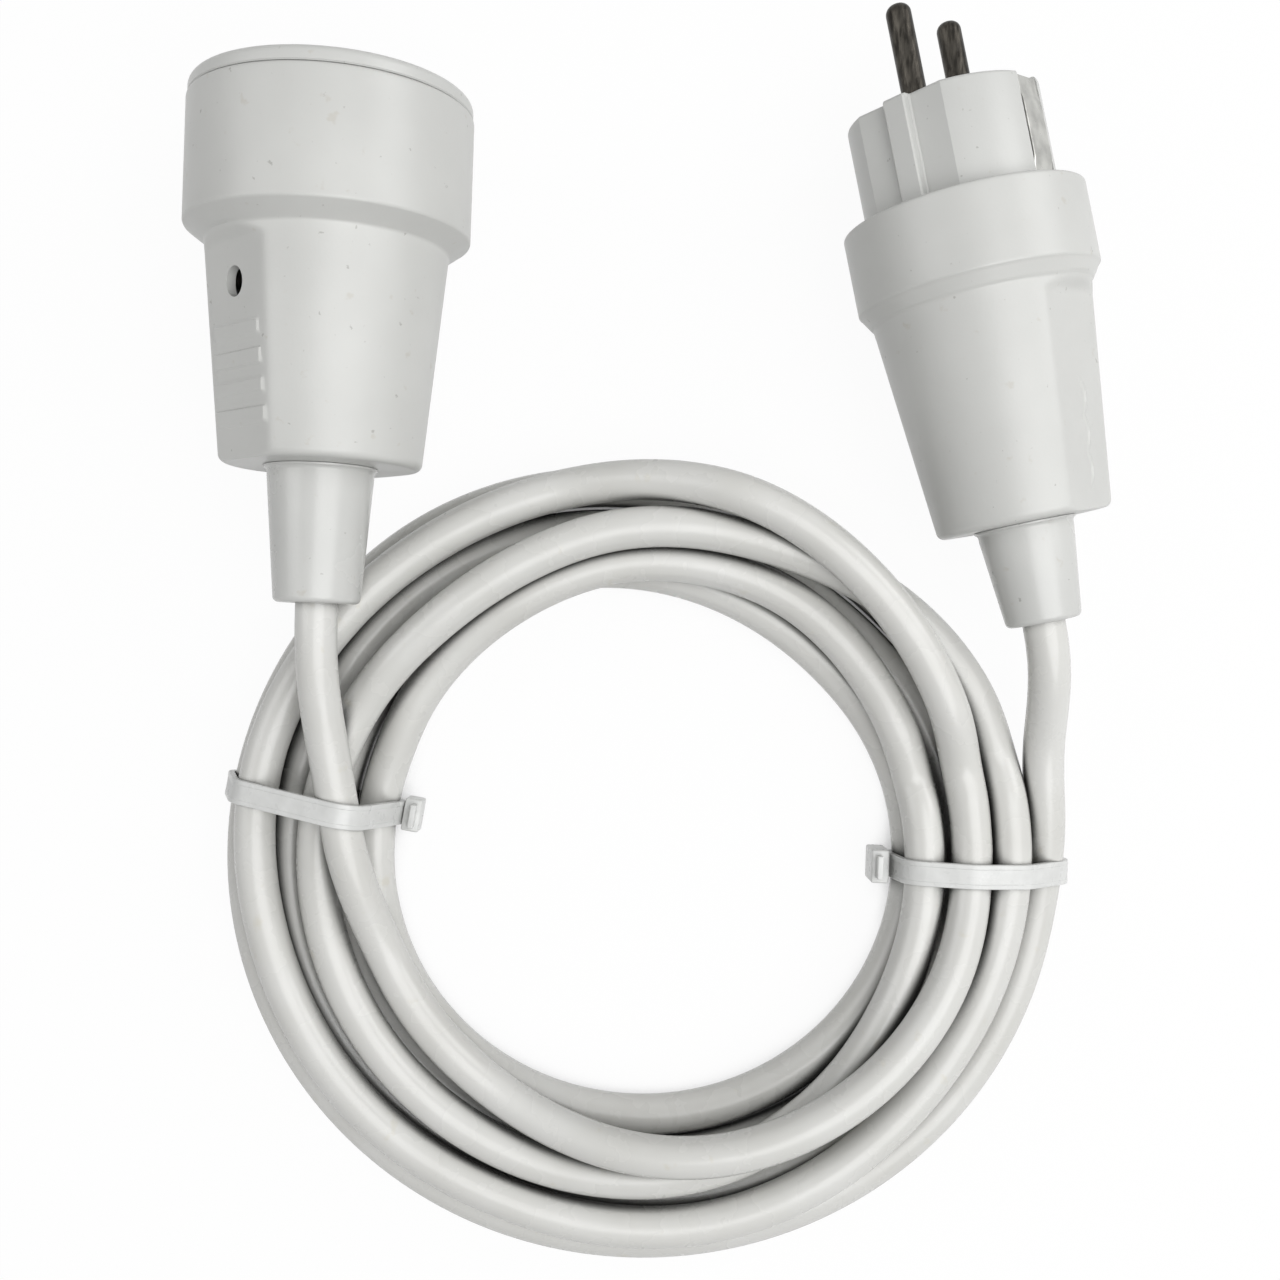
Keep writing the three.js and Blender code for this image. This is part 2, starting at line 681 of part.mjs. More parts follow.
const part = new THREE.Group();
part.add(
  socketEnd,
  plugEnd,
  makeCoil(),
  makeTail('cord_tail_socket', socket, socketPlace, socketTail),
  makeTail('cord_tail_plug', plug, plugPlace, plugTail),
  makeTie('tie_left'),
  makeTie('tie_right'),
);

// the origin lies on the resting surface, under the middle of the two ends
const ends = new THREE.Box3().setFromObject(socketEnd, true);
ends.union(new THREE.Box3().setFromObject(plugEnd, true));
const middle = ends.getCenter(new THREE.Vector3());
part.position.set(-middle.x, -middle.y, 0);

export default part;
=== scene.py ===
import math

import bmesh
import bpy
import numpy as np
from mathutils import Matrix, Vector


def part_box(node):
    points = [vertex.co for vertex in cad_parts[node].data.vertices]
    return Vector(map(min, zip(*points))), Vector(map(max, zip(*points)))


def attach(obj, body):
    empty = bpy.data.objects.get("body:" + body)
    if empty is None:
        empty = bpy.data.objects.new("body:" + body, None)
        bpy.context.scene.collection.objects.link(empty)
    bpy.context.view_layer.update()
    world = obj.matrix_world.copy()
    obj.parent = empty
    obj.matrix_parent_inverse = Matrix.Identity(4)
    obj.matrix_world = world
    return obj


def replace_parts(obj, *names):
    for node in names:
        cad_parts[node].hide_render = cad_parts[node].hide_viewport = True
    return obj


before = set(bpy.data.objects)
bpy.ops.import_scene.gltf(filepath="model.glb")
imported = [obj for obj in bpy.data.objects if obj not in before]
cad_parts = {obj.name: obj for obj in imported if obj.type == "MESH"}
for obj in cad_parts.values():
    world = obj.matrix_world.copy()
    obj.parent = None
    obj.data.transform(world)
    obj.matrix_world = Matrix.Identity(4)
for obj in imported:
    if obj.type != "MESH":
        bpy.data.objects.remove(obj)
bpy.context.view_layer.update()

MM = 0.001
ROOT = "cord_set"
coil_low, coil_high = (Vector(corner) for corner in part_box("cord_coil"))
coil_middle = Vector(((coil_low.x + coil_high.x) / 2, (coil_low.y + coil_high.y) / 2, 0))


# ---- Camera, floor and lamps ----
# The set lies on a pale table and is looked at from straight above, close enough for the
# tall ends to lean outwards. One big soft lamp hangs overhead, with a weak one on each side.
camera = bpy.data.objects.new("camera", bpy.data.cameras.new("camera"))
bpy.context.scene.collection.objects.link(camera)
camera.location = coil_middle + Vector((-0.6, 44.2, 312.0)) * MM
camera.data.sensor_width = 36
camera.data.lens = 41.8
camera.data.clip_start = 0.01
bpy.context.scene.camera = camera
bpy.context.scene.view_settings.view_transform = "Standard"


class Wire:
    """One socket in a material; arithmetic on it adds Math nodes."""

    def __init__(self, finish, socket):
        self.finish = finish
        self.socket = socket

    def maths(self, operation, first, second):
        return self.finish.node("ShaderNodeMath", {"operation": operation}, {0: first, 1: second})

    def __add__(self, other):
        return self.maths("ADD", self, other)

    def __mul__(self, other):
        return self.maths("MULTIPLY", self, other)

    __radd__ = __add__
    __rmul__ = __mul__


class Finish:
    """A material with one Principled shader, or the shader that `surface` is given."""

    def __init__(self, name):
        self.material = bpy.data.materials.new(name)
        self.material.use_nodes = True
        self.tree = self.material.node_tree
        self.tree.nodes.clear()
        self.output = self.tree.nodes.new("ShaderNodeOutputMaterial")

    def node(self, kind, settings=None, sockets=None, out=0):
        made = self.tree.nodes.new(kind)
        for key, value in (settings or {}).items():
            if key == "stops":
                for i, (at, colour) in enumerate(value):
                    stop = made.color_ramp.elements[i] if i < 2 else made.color_ramp.elements.new(at)
                    stop.position = at
                    stop.color = (*colour, 1)
            else:
                setattr(made, key, value)
        for key, value in (sockets or {}).items():
            if isinstance(value, Wire):
                self.tree.links.new(value.socket, made.inputs[key])
            else:
                made.inputs[key].default_value = value
        return Wire(self, made.outputs[out])

    def surface(self, shader):
        self.tree.links.new(shader.socket, self.output.inputs["Surface"])
        return self.material

    def place(self):
        return self.node("ShaderNodeTexCoord", out="Object")

    def noise(self, scale, detail=3.0, at=None):
        sockets = {"Vector": at or self.place(), "Scale": scale, "Detail": detail}
        return self.node("ShaderNodeTexNoise", {}, sockets)

    def ramp(self, factor, *stops):
        return self.node("ShaderNodeValToRGB", {"stops": stops}, {"Fac": factor})

    def mix(self, factor, first, second):
        return self.node("ShaderNodeMix", {"data_type": "RGBA"}, {0: factor, 6: first, 7: second}, out=2)

    def bump(self, height, strength, distance):
        sockets = {"Height": height, "Strength": strength, "Distance": distance}
        return self.node("ShaderNodeBump", {}, sockets)


pale = Finish("pale_table")
seen = pale.node("ShaderNodeLightPath", out="Is Camera Ray")
glossy = pale.node("ShaderNodeLightPath", out="Is Glossy Ray")
through = pale.node("ShaderNodeLightPath", out="Is Transmission Ray")
table_white = pale.node("ShaderNodeBsdfDiffuse", {}, {"Color": (0.60, 0.60, 0.60, 1)})
lit_white = pale.node("ShaderNodeEmission", {}, {"Color": (1, 1, 1, 1), "Strength": 1.02})
# the narrow gaps between the turns stay in their own shade
open_air = pale.node("ShaderNodeAmbientOcclusion", {"samples": 8}, {"Distance": 0.012}, out="AO")
open_air = pale.ramp(open_air, (0.10, (0, 0, 0)), (0.42, (1, 1, 1)))
share = (seen + glossy + through) * open_air * 0.93
pale.surface(pale.node("ShaderNodeMixShader", {}, {0: share, 1: table_white, 2: lit_white}))
bpy.ops.mesh.primitive_plane_add(size=6, location=(0, 0, -0.0004))
floor = bpy.context.object
floor.name = "floor"
floor.data.materials.append(pale.material)

world = bpy.data.worlds.new("studio")
bpy.context.scene.world = world
world.use_nodes = True
sky = world.node_tree
dim = sky.nodes["Background"]
dim.inputs["Color"].default_value = (1, 1, 1, 1)
dim.inputs["Strength"].default_value = 0.24
white = sky.nodes.new("ShaderNodeBackground")
white.inputs["Color"].default_value = (1, 1, 1, 1)
path = sky.nodes.new("ShaderNodeLightPath")
seen_or_glossy = sky.nodes.new("ShaderNodeMath")
any_view = sky.nodes.new("ShaderNodeMath")
either = sky.nodes.new("ShaderNodeMixShader")
sky.links.new(path.outputs["Is Camera Ray"], seen_or_glossy.inputs[0])
sky.links.new(path.outputs["Is Glossy Ray"], seen_or_glossy.inputs[1])
sky.links.new(seen_or_glossy.outputs[0], any_view.inputs[0])
sky.links.new(path.outputs["Is Transmission Ray"], any_view.inputs[1])
sky.links.new(any_view.outputs[0], either.inputs[0])
sky.links.new(dim.outputs[0], either.inputs[1])
sky.links.new(white.outputs[0], either.inputs[2])
sky.links.new(either.outputs[0], sky.nodes["World Output"].inputs["Surface"])


def lamp(name, place, target, size, energy):
    light = bpy.data.lights.new(name, "AREA")
    light.size = size
    light.energy = energy
    shown = bpy.data.objects.new(name, light)
    bpy.context.scene.collection.objects.link(shown)
    shown.location = place
    shown.rotation_euler = (Vector(target) - Vector(place)).to_track_quat("-Z", "Y").to_euler()


lamp("soft_top", (0.30, -0.22, 0.80), (0, -0.04, 0.02), 0.75, 6.2)
lamp("soft_right", (0.7, 0.25, 0.5), (0, -0.02, 0.02), 0.45, 2.4)
lamp("soft_left", (-0.7, 0.1, 0.6), (0, -0.02, 0.02), 0.5, 1.6)


# ---- Flex ----
# Round three-core PVC flex, 8.2 mm thick, wound by hand into a flat coil: four turns lie
# on the table and three in the valleys above. One turn crosses under the others at the top.
FLEX_D = 8.2
TURN_PITCH = 8.4
LOWER_TURNS = 4
COIL_INNER_R = 49.4
COIL_BASE = 1.8
STEP_DEG = 5
socket_place = {"x": -59.4, "y": 148.2, "z": 27.0, "heading": -1.9, "roll": -45}
plug_place = {"x": 62.0, "y": 127.1, "z": 23.3, "heading": 11.3, "roll": 48}
SOCKET_EXIT = -97.0
PLUG_EXIT = -81.0
socket_tail = [
    (-62.8, 46, 26.9),
    (-62.9, 40, 26.3),
    (-62.6, 33, 24.7),
    (-61.9, 26, 22.7),
    (-60.8, 19, 21.9),
]
plug_tail = [
    (78.9, 42.6, 23.0),
    (79.6, 37, 21.4),
    (80.1, 30.5, 18.0),
    (80.4, 24, 13.6),
]


def ease(low, high, value):
    share = np.clip((value - low) / (high - low), 0, 1)
    return share * share * (3 - 2 * share)


def end_matrix(place):
    laid = Matrix.Translation(coil_middle + Vector((place["x"], place["y"], place["z"])) * MM)
    turned = Matrix.Rotation(math.radians(place["heading"]), 4, "Z")
    rolled = Matrix.Rotation(math.radians(place["roll"]), 4, "Y")
    return laid @ turned @ rolled @ Matrix.Scale(MM, 4)


socket_matrix = end_matrix(socket_place)
plug_matrix = end_matrix(plug_place)

inner_row = COIL_INNER_R + FLEX_D / 2
slots = [inner_row + i * TURN_PITCH for i in range(LOWER_TURNS)]
# the three turns on top, given one by one: (degrees wound, distance from the coil's middle)
upper_turns = [
    (166, 62.1), (172, 59.6), (180, 57.2), (190, 55.4), (200, 54.5), (228, 54.0), (262, 56.1),
    (306, 60.7), (343, 65.0),
    (376, 66.2), (398, 68.6), (415, 71.3), (430, 74.4), (445, 76.0), (482, 76.2), (524, 79.3),
    (554, 76.7), (583, 75.0), (605, 73.0), (640, 74.2), (680, 72.2), (712, 73.6), (740, 74.6),
    (756, 73.8), (770, 71.4), (786, 68.0), (815, 66.2), (832, 63.6), (850, 62.4), (889, 65.6),
    (940, 64.7), (1000, 63.6), (1020, 61.2), (1050, 57.6), (1078, 56.5), (1105, 57.1),
    (1142, 60.6), (1171, 60.2), (1200, 57.2), (1240, 55.2),
]
# where each turn below moves over to the next slot, in degrees wound
crossings = [(1478, 1570), (1841, 1932), (2198, 2290)]
START_DEG = 166
END_DEG = 2531


def slot_radius(angle):
    """Distance from the coil's middle on the table, after winding through `angle` degrees."""
    radius = slots[0]
    for number, (begin, finish) in enumerate(crossings):
        radius += (slots[number + 1] - slots[number]) * ease(begin, finish, angle)
    # the ring is wider than it is tall
    return radius + math.cos(math.radians(angle)) ** 2 * (1.9 + 0.036 * (radius - slots[0]))


def wind():
    """Winds from the plug back to the socket, each turn lying on the ones wound before it."""
    turn_steps = 360 // STEP_DEG
    angles = np.arange(START_DEG, END_DEG + 1, STEP_DEG, dtype=float)
    radii = np.array([slot_radius(a) for a in angles])
    by_hand = np.interp(angles, *zip(*upper_turns))
    window = np.array([1, 2, 3, 2, 1]) / 9
    by_hand[2:-2] = np.convolve(by_hand, window, "valid")
    radii += (by_hand - radii) * (1 - ease(1225, 1245, angles))
    rest = COIL_BASE + FLEX_D / 2
    heights = np.full(len(angles), rest)
    spread = 2
    for start in range(len(angles) - turn_steps, -turn_steps, -turn_steps):
        first = max(start, 0)
        last = start + turn_steps
        rising = heights.copy()
        for i in range(first, last):
            for below in range(i + turn_steps, len(angles), turn_steps):
                across = radii[i] - radii[below]
                if abs(across) < FLEX_D:
                    over = heights[below] + math.sqrt(FLEX_D**2 - across**2)
                    rising[i] = max(rising[i], over)
        raised = rising.copy()
        for i in range(first, last):
            near = rising[max(i - spread, 0) : min(i + spread + 1, len(angles))]
            raised[i] = near.max()
        for i in range(first, last):
            near = raised[max(i - spread, 0) : min(i + spread + 1, len(angles))]
            heights[i] = near.mean()
    return angles, radii, heights


angles, radii, heights = wind()
# the first turn comes down from the socket's tail, and the last one climbs to the plug's
tail_in = 1 - ease(START_DEG - 4, START_DEG + 30, angles)
heights = np.maximum(heights, heights * (1 - tail_in) + 21.6 * tail_in)
tail_out = ease(END_DEG - 22, END_DEG + 6, angles)
radii = radii + (82.3 - radii) * tail_out
heights = heights + (13.0 - heights) * tail_out
coil_points = [
    (r * math.cos(math.radians(a)), r * math.sin(math.radians(a)), z)
    for a, r, z in zip(angles, radii, heights)
]


def along_axis(place, reach):
    heading = math.radians(place["heading"])
    return (place["x"] - math.sin(heading) * reach, place["y"] + math.cos(heading) * reach, place["z"])


leaves_socket = along_axis(socket_place, SOCKET_EXIT + 1.5)
enters_plug = along_axis(plug_place, PLUG_EXIT + 1.5)
route = [leaves_socket, *socket_tail, *coil_points, *reversed(plug_tail), enters_plug]
route_m = [coil_middle + Vector(p) * MM for p in route]

flex_curve = bpy.data.curves.new("flex", "CURVE")
flex_curve.dimensions = "3D"
flex_curve.bevel_depth = FLEX_D / 2 * MM
flex_curve.bevel_resolution = 6
flex_curve.resolution_u = 3
flex_curve.use_fill_caps = True
run = flex_curve.splines.new("NURBS")
run.points.add(len(route_m) - 1)
for point, place in zip(run.points, route_m):
    point.co = (*place, 1)
run.order_u = 4
run.use_endpoint_u = True
flex = bpy.data.objects.new("flex", flex_curve)
bpy.context.scene.collection.objects.link(flex)

sheath = Finish("flex_sheath")
mottle = sheath.noise(55, 4)
grain = sheath.noise(900, 2)
scuff = sheath.noise(210, 6)
sheath_colour = sheath.ramp(mottle, (0.3, (0.575, 0.572, 0.546)), (0.7, (0.625, 0.624, 0.604)))
stain = sheath.ramp(scuff, (0.66, (0, 0, 0)), (0.74, (1, 1, 1)))
sheath_colour = sheath.mix(stain * 0.22, sheath_colour, (0.50, 0.45, 0.30, 1))
# painted shade: an ambient-occlusion mask darkens the sheath's colour to near black deep in the seams
# between the turns
painted_seam_shade = sheath.node("ShaderNodeAmbientOcclusion", {"samples": 8}, {"Distance": 0.0045}, out="AO")
painted_seam_shade = sheath.ramp(painted_seam_shade, (0.28, (1, 1, 1)), (0.66, (0, 0, 0)))
sheath_colour = sheath.mix(painted_seam_shade * 0.96, sheath_colour, (0.02, 0.02, 0.018, 1))
sheath.surface(
    sheath.node(
        "ShaderNodeBsdfPrincipled",
        {},
        {
            "Base Color": sheath_colour,
            "Roughness": sheath.noise(130, 3) * 0.14 + 0.20,
            "Specular IOR Level": 0.5,
            "Normal": sheath.bump(mottle * 0.5 + grain * 0.1, 0.10, 0.0010),
        },
    )
)
flex_curve.materials.append(sheath.material)
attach(flex, ROOT)
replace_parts(flex, "cord_coil", "cord_tail_socket", "cord_tail_plug")


def dress(finish, slot_name, *node_names):
    """Gives CAD nodes that stay in view their finish."""
    for node_name in node_names:
        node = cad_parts[node_name]
        node.data.materials.clear()
        node.data.materials.append(finish.material)


dress(sheath, "cord_pvc", "socket_jacket_end", "plug_jacket_end")


# ---- Cable ties ----
# Two natural nylon ties pulled tight around all the turns. Each is one moulding: a ribbed
# strap, a square head at the inner side of the coil and the strap's cut end beyond it.
STRAP_THICK = 1.2
STRAP_WIDE = 4.8
TOOTH_PITCH = 1.3
TOOTH_DEEP = 0.14
TIE_ANGLES = {"tie_left": 170, "tie_right": -2}


def mesh_piece(name, vertices, faces, finish, slot_name):
    mesh = bpy.data.meshes.new(name)
    mesh.from_pydata([tuple(v) for v in vertices], [], faces)
    mesh.validate()
    facing_out = bmesh.new()
    facing_out.from_mesh(mesh)
    bmesh.ops.recalc_face_normals(facing_out, faces=facing_out.faces[:])
    facing_out.to_mesh(mesh)
    facing_out.free()
    made = bpy.data.objects.new(name, mesh)
    bpy.context.scene.collection.objects.link(made)
    mesh.materials.append(finish.material)
    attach(made, ROOT)
    return made


def crisp(piece, angle=32):
    """Smooth shading, with the edges sharper than `angle` degrees left sharp."""
    mesh = piece.data
    mesh.polygons.foreach_set("use_smooth", [True] * len(mesh.polygons))
    mesh.update()
    mesh.set_sharp_from_angle(angle=math.radians(angle))


def hull(points):
    points = sorted(points)

    def side(sequence):
        kept = []
        for p in sequence:
            while len(kept) > 1:
                (ax, ay), (bx, by) = kept[-2], kept[-1]
                if (bx - ax) * (p[1] - ay) - (by - ay) * (p[0] - ax) > 0:
                    break
                kept.pop()
            kept.append(p)
        return kept[:-1]

    return side(points) + side(points[::-1])


def turns_at(angle):
    """Where the turns cross the given direction, as (radius, height)."""
    crossing = []
    for a, r, z in zip(angles, radii, heights):
        if abs((a - angle + 180) % 360 - 180) < STEP_DEG / 2:
            crossing.append((r, z))
    return crossing


def spaced_loop(corners, count):
    ring = corners + corners[:1]
    lengths = [math.dist(a, b) for a, b in zip(ring, ring[1:])]
    total = sum(lengths)
    points, at, walked = [], 0, 0.0
    for i in range(count):
        target = total * i / count
        while walked + lengths[at] < target:
            walked += lengths[at]
            at += 1
        share = (target - walked) / lengths[at]
        a, b = ring[at], ring[at + 1]
        points.append((a[0] + (b[0] - a[0]) * share, a[1] + (b[1] - a[1]) * share))
    return points


nylon = Finish("tie_nylon")
cloud = nylon.noise(260, 3)
nylon.surface(
    nylon.node(
        "ShaderNodeBsdfPrincipled",
        {},
        {
            "Base Color": nylon.ramp(cloud, (0.35, (0.590, 0.596, 0.585)), (0.7, (0.660, 0.666, 0.655))),
            "Roughness": nylon.noise(400, 2) * 0.14 + 0.22,
            "Normal": nylon.bump(cloud, 0.12, 0.0006),
        },
    )
)


def tie_strap(angle):
    skin = FLEX_D / 2 + 0.12
    cloud_of_points = []
    for r, z in turns_at(angle):
        for i in range(40):
            a = 2 * math.pi * i / 40
            cloud_of_points.append((r + skin * math.cos(a), max(z + skin * math.sin(a), 0.3 + STRAP_THICK)))
    corners = hull(cloud_of_points)
    around_all = sum(math.dist(a, b) for a, b in zip(corners, corners[1:] + corners[:1]))
    count = 2 * round(around_all / TOOTH_PITCH)
    inner = spaced_loop(corners, count)
    around = Matrix.Rotation(math.radians(angle), 4, "Z")
    half = STRAP_WIDE / 2
    vertices, faces = [], []
    for i, (r, z) in enumerate(inner):
        before, after = inner[i - 1], inner[(i + 1) % count]
        along = Vector((after[0] - before[0], after[1] - before[1])).normalized()
        out = Vector((along.y, -along.x))
        deep = TOOTH_DEEP if i % 2 else 0.05
        section = [
            (-half, 0.0),
            (-half, STRAP_THICK - 0.12),
            (-half + 0.14, STRAP_THICK),
            (-half + 0.85, STRAP_THICK),
            (-half + 1.0, STRAP_THICK - deep),
            (half - 1.0, STRAP_THICK - deep),
            (half - 0.85, STRAP_THICK),
            (half - 0.14, STRAP_THICK),
            (half, STRAP_THICK - 0.12),
            (half, 0.0),
        ]
        for across, up in section:
            local = Vector((r + out.x * up, across, z + out.y * up))
            vertices.append(coil_middle + (around @ local) * MM)
    size = len(section)
    for i in range(count):
        for j in range(size):
            a, b = i * size + j, i * size + (j + 1) % size
            c, d = ((i + 1) % count) * size + (j + 1) % size, ((i + 1) % count) * size + j
            faces.append((a, b, c, d))
    return vertices, faces, min(r for r, _ in inner)


def rounded_block(low, high, bevel):
    """A box with rounded edges, as vertices and faces."""
    made = bmesh.new()
    bmesh.ops.create_cube(made, size=1)
    centre = [(a + b) / 2 for a, b in zip(low, high)]
    for vertex in made.verts:
        vertex.co = Vector([c + v * (b - a) for c, v, a, b in zip(centre, vertex.co, low, high)])
    bmesh.ops.bevel(made, geom=made.edges[:], offset=bevel, segments=3, affect="EDGES", profile=0.6)
    made.verts.index_update()
    vertices = [v.co.copy() for v in made.verts]
    faces = [[v.index for v in f.verts] for f in made.faces]
    made.free()
    return vertices, faces


def tie(name, angle):
    vertices, faces, inner_r = tie_strap(angle)
    around = Matrix.Rotation(math.radians(angle), 4, "Z")
    head_low = COIL_BASE + FLEX_D / 2 - 3.2
    tall = 8.6 if angle < 90 else 5.2
    blocks = [
        ((inner_r - 4.9, -3.4, head_low), (inner_r - STRAP_THICK - 0.05, 3.4, head_low + tall), 0.6),
        ((inner_r - 4.0, -STRAP_WIDE / 2, head_low + tall - 0.4),
         (inner_r - 2.8, STRAP_WIDE / 2, head_low + tall + 2.4), 0.3),
    ]
    for low, high, bevel in blocks:
        more, quads = rounded_block(low, high, bevel)
        offset = len(vertices)
        vertices += [coil_middle + (around @ v) * MM for v in more]
        faces += [[i + offset for i in quad] for quad in quads]
    made = mesh_piece(name + "_band", vertices, faces, nylon, "tie_nylon")
    crisp(made)
    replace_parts(made, name)
    return made


ties = [tie(name, angle) for name, angle in TIE_ANGLES.items()]


# ---- Housing shells ----
# Each end has one tough moulded cover: a collar, a shoulder and a tapering body with two flat
# facets for the fingers. The socket's facets carry four grip bars, the plug's three curved ones.
SOCKET = {
    "collar_r": 27, "collar_l": 27, "wall": 2.2, "shoulder": 3, "front_r": 22.9, "back_r": 19.2,
    "body_l": 44, "body_wall": 4, "guard_front": 10.2, "guard_back": 8.3, "guard_l": 26,
    "mouth": -3.15, "screw_y": -39, "side": 1,
}
PLUG = {
    "collar_r": 23.3, "collar_l": 16, "wall": 2.2, "shoulder": 3, "front_r": 21, "back_r": 16.9,
    "body_l": 45.5, "body_wall": 3.8, "guard_front": 9.2, "guard_back": 7.3, "guard_l": 19.5,
    "mouth": 0, "screw_y": -25, "side": -1,
}
FACET_DEPTH = 2.4
END_WALL = 2.5
AROUND = 288


def arc(cx, cy, radius, begin, finish, steps):
    return [
        (cx + radius * math.cos(math.radians(begin + (finish - begin) * i / steps)),
         cy + radius * math.sin(math.radians(begin + (finish - begin) * i / steps)))
        for i in range(steps + 1)
    ]


def finely(outline, step):
    """The outline with its long straight stretches cut into short ones."""
    points = [outline[0]]
    for a, b in zip(outline, outline[1:]):
        count = max(1, round(math.dist(a, b) / step))
        points += [(a[0] + (b[0] - a[0]) * i / count, a[1] + (b[1] - a[1]) * i / count)
                   for i in range(1, count + 1)]
    return points


def soft_least(a, b, reach):
    return -reach * np.log(np.exp(-a / reach) + np.exp(-b / reach))


def soft_box(value, low, high, edge):
    return ease(low - edge, low + edge, value) * (1 - ease(high - edge, high + edge, value))


def grip_height(end, across, y):
    rear = -(end["collar_l"] + end["body_l"])
    height = np.zeros_like(across)
    if end["side"] > 0:
        for i in range(4):
            middle = rear + 7.5 + i * 5.2
            half = 8.7 - 0.25 * i
            bar = soft_box(across, -half, half, 0.3) * soft_box(y, middle - 1.4, middle + 1.4, 0.22)
            height = np.maximum(height, bar * 0.45)
    else:
        for i in range(3):
            middle = rear + 7.2 + i * 6.8
            reach = np.hypot(across + 2.2, y - middle)
            crescent = soft_box(reach, 3.2, 4.0, 0.25) * ease(-0.6, 0.8, across)
            height = np.maximum(height, crescent * 0.32)
    return height


def shell_surface(end, matrix):
    rear = -(end["collar_l"] + end["body_l"])
    front = -(end["collar_l"] + end["shoulder"])
    hole = end["guard_front"] - 0.9
    edge = 1.6
    outer = [
        (hole, rear),
        *arc(end["back_r"] - edge, rear + edge, edge, -90, 0, 8),
        *arc(end["front_r"] + 0.9, front - 0.1, 0.9, 180, 125, 6),
        *arc(end["collar_r"] - 0.8, -end["collar_l"] + 0.8, 0.8, -55, 0, 8),
        *arc(end["collar_r"] - 0.6, end["mouth"] - 0.6, 0.6, 0, 90, 4),
        (end["collar_r"] - end["wall"], end["mouth"]),
    ]
    outer = finely(outer, 0.42)
    cavity = 2.5 - end["collar_l"]
    inner = [
        (end["collar_r"] - end["wall"], cavity),
        (end["front_r"] - end["body_wall"], cavity),
        (end["front_r"] - end["body_wall"], front),
        (end["back_r"] - end["body_wall"], rear + END_WALL),
        (hole, rear + END_WALL),
    ]
    turn = np.linspace(0, 2 * np.pi, AROUND, endpoint=False)
    facing = np.abs(np.sin(turn))
    rows = []
    for r, y in outer:
        radius = np.full(AROUND, float(r))
        share = (front - y) / (front - rear)
        body_r = end["front_r"] + (end["back_r"] - end["front_r"]) * share
        sunk = FACET_DEPTH * (1 - ease(front - 2.2, front + 0.8, y))
        if y < front + 0.8 and r > end["guard_front"] + 2:
            flat = (body_r - sunk) / np.maximum(facing, 0.3)
            raised = grip_height(end, r * np.cos(turn), np.full(AROUND, float(y)))
            cut = soft_least(radius, flat, 0.32) + raised * (flat < radius + 0.2)
            radius = np.where(facing > 0.4, cut, radius)
        rows.append((radius, y))
    for r, y in inner:
        rows.append((np.full(AROUND, float(r)), y))
    vertices, faces = [], []
    for radius, y in rows:
        for a, r in zip(turn, radius):
            vertices.append(matrix @ Vector((r * math.cos(a), y, r * math.sin(a))))
    for i in range(len(rows)):
        for j in range(AROUND):
            k, n = (j + 1) % AROUND, (i + 1) % len(rows)
            faces.append((i * AROUND + j, n * AROUND + j, n * AROUND + k, i * AROUND + k))
    return vertices, faces


def carve(piece, mesh):
    """Cuts the closed mesh out of a piece."""
    cutter = bpy.data.objects.new("cutter", mesh)
    bpy.context.scene.collection.objects.link(cutter)
    cut = piece.modifiers.new("cut", "BOOLEAN")
    cut.operation = "DIFFERENCE"
    cut.solver = "EXACT"
    cut.object = cutter
    with bpy.context.temp_override(object=piece, active_object=piece, selected_objects=[piece]):
        bpy.ops.object.modifier_apply(modifier=cut.name)
    bpy.data.objects.remove(cutter, do_unlink=True)


def bore_out(piece, matrix, radius, low, high):
    """Cuts a round hole; low and high are points of its axis."""
    low, high = Vector(low), Vector(high)
    deep = (high - low).length
    made = bmesh.new()
    bmesh.ops.create_cone(made, cap_ends=True, segments=48, radius1=radius, radius2=radius, depth=deep)
    turn = (high - low).to_track_quat("Z", "Y").to_matrix().to_4x4()
    placed = matrix @ Matrix.Translation((low + high) / 2) @ turn
    bmesh.ops.transform(made, matrix=placed, verts=made.verts)
    mesh = bpy.data.meshes.new("cutter")
    made.to_mesh(mesh)
    made.free()
    carve(piece, mesh)


def moulded(name, low_colour, high_colour, roughness):
    """White moulded plastic: faint flow mottling, a fine mould grain and a few rubbed-in marks."""
    finish = Finish(name)
    flow = finish.noise(38, 5)
    fine = finish.noise(1500, 2)
    marks = finish.noise(330, 8)
    colour = finish.ramp(flow, (0.3, low_colour), (0.72, high_colour))
    rubbed = finish.ramp(marks, (0.67, (0, 0, 0)), (0.74, (1, 1, 1)))
    colour = finish.mix(rubbed * 0.30, colour, (0.42, 0.38, 0.31, 1))
    specks = finish.ramp(finish.noise(700, 3), (0.715, (0, 0, 0)), (0.75, (1, 1, 1)))
    colour = finish.mix(specks * 0.45, colour, (0.20, 0.19, 0.17, 1))
    finish.surface(
        finish.node(
            "ShaderNodeBsdfPrincipled",
            {},
            {
                "Base Color": colour,
                "Roughness": finish.noise(90, 4) * 0.14 + (roughness - 0.07),
                "Normal": finish.bump(flow * 0.8 + fine * 0.1, 0.16, 0.0010),
            },
        )
    )
    return finish


cover_white = moulded("cover_white", (0.526, 0.529, 0.512), (0.580, 0.583, 0.564), 0.37)


def shell(name, end, matrix):
    made = mesh_piece(name, *shell_surface(end, matrix), cover_white, "white_plastic")
    s = end["side"]
    bore_out(made, matrix, 2.8, (0, end["screw_y"], s * 12), (0, end["screw_y"], s * 30))
    crisp(made)
    return made


socket_cover = shell("socket_cover", SOCKET, socket_matrix)
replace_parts(socket_cover, "socket_shell")
plug_cover = shell("plug_cover", PLUG, plug_matrix)
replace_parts(plug_cover, "plug_shell")


